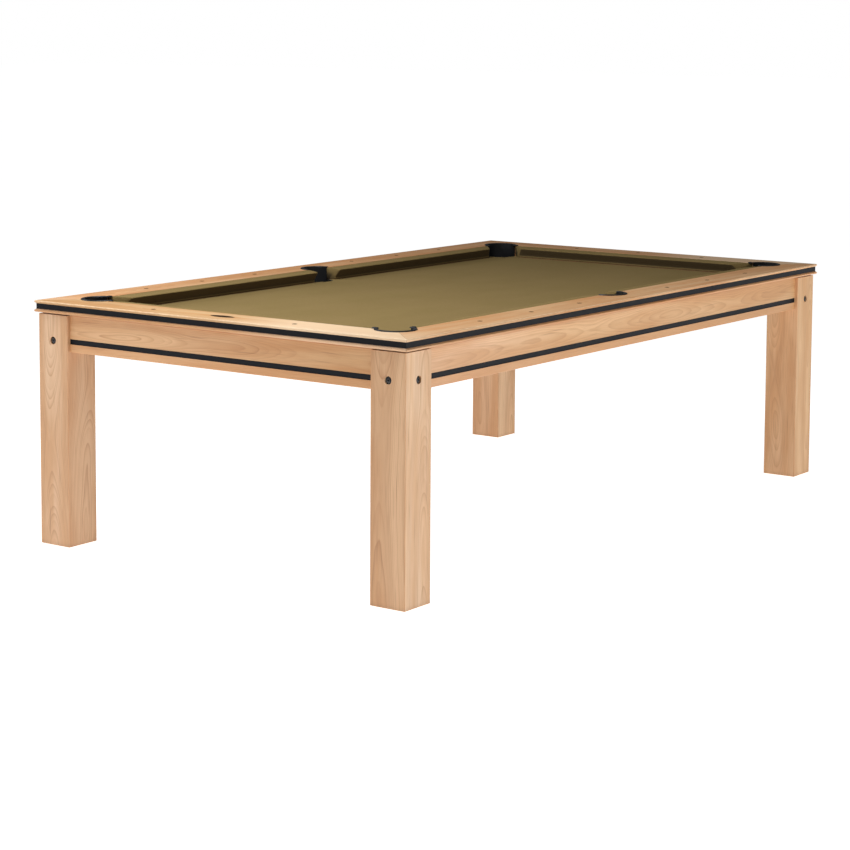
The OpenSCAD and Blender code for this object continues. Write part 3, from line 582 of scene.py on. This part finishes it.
def bed_cloth(material):
    """The bed cloth: cut round six pockets, its edge drawn down over the slate's rim at each."""
    holes = [(sx * POCKET_X, sy * POCKET_Y, CORNER_HOLE) for sx in (-1, 1) for sy in (-1, 1)]
    holes += [(0.0, sy * POCKET_SIDE_Y, SIDE_HOLE) for sy in (-1, 1)]
    points, edges = [], []

    def loop(ring):
        first = len(points)
        points.extend(ring)
        edges.extend((first + i, first + (i + 1) % len(ring)) for i in range(len(ring)))

    border = [Vector((x, y)) for x, y in ((-BED_X, -BED_Y), (BED_X, -BED_Y), (BED_X, BED_Y), (-BED_X, BED_Y))]
    outline = []
    for a, b in zip(border, border[1:] + border[:1]):
        parts = max(1, round((b - a).length / 0.05))
        outline.extend(a.lerp(b, i / parts) for i in range(parts))
    loop(outline)
    for x, y, r in holes:
        turns = [2 * math.pi * i / HOLE_STEPS for i in range(HOLE_STEPS)]
        loop([Vector((x + (r + LIP) * math.cos(t), y + (r + LIP) * math.sin(t))) for t in turns])
    for i in range(1, GRID_X):
        for j in range(1, GRID_Y):
            q = Vector((-BED_X + 2 * BED_X * i / GRID_X, -BED_Y + 2 * BED_Y * j / GRID_Y))
            if all((q - Vector((x, y))).length > r + 0.012 for x, y, r in holes):
                points.append(q)
    out = delaunay_2d_cdt(points, edges, [], 0, 1e-6)
    bm = bmesh.new()
    verts = [bm.verts.new((q.x, q.y, BED)) for q in out[0]]
    for face in out[2]:
        middle = sum((out[0][i] for i in face), Vector((0.0, 0.0))) / len(face)
        if any((middle - Vector((x, y))).length < r + LIP * 0.5 for x, y, r in holes):
            continue
        bm.faces.new([verts[i] for i in face])
    for v in [v for v in bm.verts if not v.link_faces]:
        bm.verts.remove(v)
    for x, y, r in holes:
        rim = [v for v in bm.verts if abs((v.co.xy - Vector((x, y))).length - r - LIP) < 2e-5]
        rim.sort(key=lambda v: math.atan2(v.co.y - y, v.co.x - x))
        previous = rim
        for out_by, down in RIM_DROP:
            row = []
            for v in rim:
                d = (v.co.xy - Vector((x, y))).normalized() * (r + out_by)
                row.append(bm.verts.new((x + d.x, y + d.y, BED - down)))
            for i in range(len(rim)):
                j = (i + 1) % len(rim)
                bm.faces.new((previous[i], previous[j], row[j], row[i]))
            previous = row
    piece = make_object("fabric_bed_cloth", bm)
    thicken(piece, BED_CLOTH)
    dress(material, piece)
    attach(piece, "table")
    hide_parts("bed_cloth")


# ---- camera, floor and light ----

ROOM = 0.082              # strength of the room's own light
FLOOR_GLOW = 0.94         # the floor's own light, which keeps it white under the table
# Soft boxes: name, place, aim, size in metres, watts
LAMPS = [
    ("front", (0.0, -5.0, 0.42), (0.0, 0.0, 0.42), (6.0, 0.8), 50.0),
    ("front_high", (-0.5, -4.5, 3.0), (0.0, 0.0, 0.6), (4.0, 1.5), 42.0),
    ("near_end", (-1.9, 0.5, 1.6), (-1.1, 0.0, 0.75), (0.8, 0.8), 4.0),
    ("back", (-2.0, 3.6, 2.6), (-0.6, 0.0, 0.75), (2.0, 2.0), 55.0),
    ("over", (-1.2, 0.0, 2.8), (-1.0, 0.0, 0.75), (1.0, 1.6), 56.0),
]


def add_camera():
    """A long lens at standing height, near the front left corner."""
    yaw, pitch, roll = 0.6234, -0.1013, 0.0058
    ahead = Vector((math.cos(yaw) * math.cos(pitch), math.sin(yaw) * math.cos(pitch), math.sin(pitch)))
    right = Vector((math.sin(yaw), -math.cos(yaw), 0.0))
    up = right.cross(ahead)
    right, up = math.cos(roll) * right + math.sin(roll) * up, math.cos(roll) * up - math.sin(roll) * right
    data = bpy.data.cameras.new("camera")
    data.lens, data.sensor_width = 96.3233, 36.0    # mm
    data.shift_y = -0.2
    data.clip_end = 200.0
    camera = bpy.data.objects.new("camera", data)
    bpy.context.scene.collection.objects.link(camera)
    camera.matrix_world = Matrix((right, up, -ahead)).transposed().to_4x4()
    camera.location = (-6.391, -4.461, 1.667)
    bpy.context.scene.camera = camera


def add_floor():
    """A white studio floor that also lifts the light under the table."""
    bm = bmesh.new()
    bmesh.ops.create_grid(bm, x_segments=1, y_segments=1, size=60.0)
    floor = make_object("floor", bm, smooth=False)
    floor.location.z = -0.0004
    p = Paint("pale_floor", Specular_IOR_Level=0.1, Emission_Strength=FLOOR_GLOW)
    p.bsdf.inputs["Emission Color"].default_value = (1.0, 1.0, 1.0, 1.0)
    tone = p.noise(p.where, 0.4, 2.0)
    p.finish(p.mix(tone, (0.78, 0.78, 0.78, 1), (0.80, 0.80, 0.80, 1)), p.span(tone, 0.3, 0.7, 0.85, 0.95))
    floor.data.materials.append(p.mat)


def soft_light(name, place, aim, size, watts):
    """A soft box at place, facing aim."""
    data = bpy.data.lights.new(name, "AREA")
    data.shape, data.size, data.size_y = "RECTANGLE", size[0], size[1]
    data.energy = watts
    light = bpy.data.objects.new(name, data)
    bpy.context.scene.collection.objects.link(light)
    light.location = place
    light.rotation_euler = (Vector(aim) - Vector(place)).to_track_quat("-Z", "Y").to_euler()


def add_lights():
    """A dim white room that the camera sees as plain white, and soft boxes."""
    world = bpy.data.worlds.new("studio")
    bpy.context.scene.world = world
    world.use_nodes = True
    tree = world.node_tree
    room = tree.nodes["Background"]
    seen = tree.nodes.new("ShaderNodeBackground")
    ray = tree.nodes.new("ShaderNodeLightPath")
    either = tree.nodes.new("ShaderNodeMixShader")
    for node, strength in ((room, ROOM), (seen, 1.0)):
        node.inputs["Color"].default_value = (1.0, 1.0, 1.0, 1.0)
        node.inputs["Strength"].default_value = strength
    tree.links.new(ray.outputs["Is Camera Ray"], either.inputs[0])
    tree.links.new(room.outputs[0], either.inputs[1])
    tree.links.new(seen.outputs[0], either.inputs[2])
    tree.links.new(either.outputs[0], tree.nodes["World Output"].inputs[0])
    for lamp in LAMPS:
        soft_light(*lamp)
    view = bpy.context.scene.view_settings
    view.view_transform, view.look = "Standard", "None"


# ---- dressing the frame ----

# Painted light and shade on each leg's faces, together with boards from other planks: colours that multiply
# the faces across X and across Y
LEG_PAINTED_LIGHT = {
    "front_left": ((0.91, 0.86, 0.78, 1.0), (1.01, 1.08, 1.13, 1.0)),
    "front_right": ((0.98, 0.9, 0.79, 1.0), (0.97, 0.94, 0.8, 1.0)),
    "back_left": ((0.93, 0.92, 0.91, 1.0), (0.81, 0.75, 0.69, 1.0)),
    "back_right": ((1.0, 0.92, 0.84, 1.0), (1.09, 1.07, 0.98, 1.0)),
}
PLAIN = (1.0, 1.0, 1.0, 1.0)
# painted shade: colours that darken the front and left rails as a whole
RAIL_PAINTED_SHADE = {"front": (0.90, 0.93, 0.92, 1.0), "left": (0.84, 0.90, 0.86, 1.0)}
# Where along an apron or rail its colour turns to another shade: start, stop, and the shade at stop; on the
# front rail this is painted light
EVEN = (0.0, 1.0, PLAIN)
APRON_TURNS = {
    "front": (-1.15, -0.35, (0.90, 0.84, 0.68, 1.0)),
    "left": (0.05, -0.55, (0.90, 0.86, 0.77, 1.0)),
}
SIDES = (("front", "x", -1), ("back", "x", 1), ("left", "y", -1), ("right", "y", 1))
# painted light: the front rail is painted lighter towards its right end
RAIL_PAINTED_LIGHT = {"front": (-0.6, 1.1, (1.25, 1.22, 1.22, 1.0))}


def dress_frame():
    """Every CAD node that stays gets its material."""
    for i, (key, (sx, sy)) in enumerate(CORNERS.items()):
        dress(leg_wood("wood_leg_" + key, sx, sy, 1.7 + 5.3 * i, *LEG_PAINTED_LIGHT[key]), "leg_" + key)
    for i, (key, way, sign) in enumerate(SIDES):
        shade, turn = RAIL_PAINTED_SHADE.get(key, PLAIN), RAIL_PAINTED_LIGHT.get(key, EVEN)
        dress(rail_wood("wood_rail_" + key, way, sign, 31.0 + 4.7 * i, shade, turn), "rail_" + key)
        tint, turn = TINT if key == "front" else TINT_WARM, APRON_TURNS.get(key, EVEN)
        dress(apron_wood("wood_apron_" + key, way, sign, 57.0 + 6.1 * i, tint, turn), "apron_" + key)
    dress(frame_wood("timber_long", "x", 81.0), "beam_front", "beam_back")
    dress(frame_wood("timber_short", "y", 88.0),
          "beam_left", "beam_right", "beam_cross_left", "beam_cross_right")
    dress(black_strip("strip_black"), "apron_strips", "rail_strips")
    dress(moulded_black("pocket_black"), *[n for n in NODES if n.startswith("pocket_")])
    dress(nylon("foot_nylon"), *[n for n in NODES if n.startswith("foot_pad_")])
    dress(rubber("cushion_rubber"), *[n for n in NODES if n.startswith("rubber_")])
    dress(slate_stone("slate_grey"), *[n for n in NODES if n.startswith("slate_") and n != "slate_screws"])
    dress(metal("zinc_steel", srgb(150, 152, 156), srgb(186, 188, 190), 0.34),
          "foot_inserts", "rail_bolts", "slate_screws", "apron_screws",
          *[n for n in NODES if n.startswith("foot_screw_")])
    dress(metal("brass_turned", srgb(186, 150, 82), srgb(210, 176, 104), 0.3), "bolt_inserts")
    dress(metal("black_oxide", srgb(34, 34, 36), srgb(62, 61, 62), 0.42, 0.4), "leg_bolts")
    dress(bronze_plate("bronze_dark"), "rail_plate")
    dress(sight_dot("sight_brown"), "sights")


add_camera()
add_floor()
add_lights()
dress_frame()
felt = cloth_paint("cloth_olive")
bed_cloth(felt)
cushions(felt)
